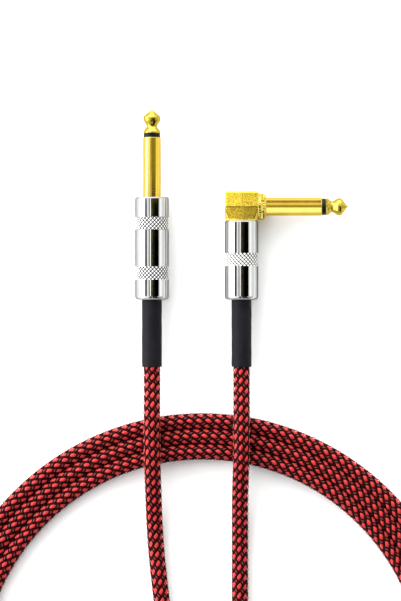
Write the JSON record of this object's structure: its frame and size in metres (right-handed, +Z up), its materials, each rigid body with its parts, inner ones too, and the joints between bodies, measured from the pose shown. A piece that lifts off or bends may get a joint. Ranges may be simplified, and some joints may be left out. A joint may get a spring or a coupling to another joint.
{
  "type": "instrument cable",
  "caption": "Braided mono instrument cable with one straight and one right-angle phone plug, laid flat with its cord in a tied round coil.",
  "frame": {"origin": "on the surface that the cable lies on, under the middle of the box round the two plugs and the shrunk sleeves behind them", "axes": "+Y along the straight plug towards its tip, +X along the right-angle plug's shaft towards its tip, +Z up from the surface"},
  "size_m": [0.1918, 0.2994, 0.0121],
  "materials": {
    "gold_plate": "gold plated brass, polished on the shafts and grainy on the cast elbow",
    "black_insulator": "black moulded ring",
    "ivory_insulator": "natural plastic",
    "paper_washer": "brown phenolic paper",
    "brass_lug": "thin stamped brass",
    "copper": "bare copper strands",
    "solder": "dull tin solder",
    "jacket": "soft jacket under the braid",
    "heatshrink": "matte shrunk sleeve",
    "liner": "white insulating sleeve",
    "chrome": "polished chrome with diamond knurled bands",
    "strap": "black woven strap",
    "braid": "tight red and black braid with thin grey tracers"
  },
  "bodies": {
    "cable": {"straight_tip_contact": "gold_plate", "straight_tip_insulator": "black_insulator", "straight_insulator_tube": "ivory_insulator", "straight_ground_sleeve": "gold_plate", "straight_rear_washer": "paper_washer", "straight_tip_lug": "brass_lug", "straight_ground_lug": "brass_lug", "straight_centre_wire": "copper", "straight_dielectric": "ivory_insulator", "straight_shield_tail": "copper", "straight_tip_solder": "solder", "straight_ground_solder": "solder", "straight_jacket_end": "jacket", "straight_heatshrink": "heatshrink", "angled_tip_contact": "gold_plate", "angled_tip_insulator": "black_insulator", "angled_insulator_tube": "ivory_insulator", "angled_ground_sleeve": "gold_plate", "angled_rear_washer": "paper_washer", "angled_tip_lug": "brass_lug", "angled_elbow": "gold_plate", "angled_ground_lug": "brass_lug", "angled_centre_wire": "copper", "angled_dielectric": "ivory_insulator", "angled_shield_tail": "copper", "angled_tip_solder": "solder", "angled_ground_solder": "solder", "angled_jacket_end": "jacket", "angled_heatshrink": "heatshrink", "cord_leg_straight": "braid", "cord_coil": "braid", "cord_leg_angled": "braid", "cord_tie": "strap"},
    "straight_liner_body": {"straight_liner": "liner"},
    "straight_barrel_body": {"straight_barrel": "chrome"},
    "angled_liner_body": {"angled_liner": "liner"},
    "angled_barrel_body": {"angled_barrel": "chrome"}
  },
  "joints": [
    {"name": "straight_draw_back", "type": "slide", "parent": "cable", "child": "straight_liner_body", "axis": [0, -1, 0], "range_m": [0, 0.024]},
    {"name": "straight_barrel_turn", "type": "hinge", "parent": "straight_liner_body", "child": "straight_barrel_body", "pos_m": [-0.032, -0.022, 0.006], "axis": [0, -1, 0], "range_deg": [0, 11520]},
    {"name": "angled_draw_back", "type": "slide", "parent": "cable", "child": "angled_liner_body", "axis": [0, -1, 0], "range_m": [0, 0.024]},
    {"name": "angled_barrel_turn", "type": "hinge", "parent": "angled_liner_body", "child": "angled_barrel_body", "pos_m": [0, -0.022, 0.006], "axis": [0, -1, 0], "range_deg": [0, 11520]}
  ],
  "couplings": [
    {"joint": "straight_draw_back", "follows": "straight_barrel_turn", "m_per_rad": 0.00011937},
    {"joint": "angled_draw_back", "follows": "angled_barrel_turn", "m_per_rad": 0.00011937}
  ]
}
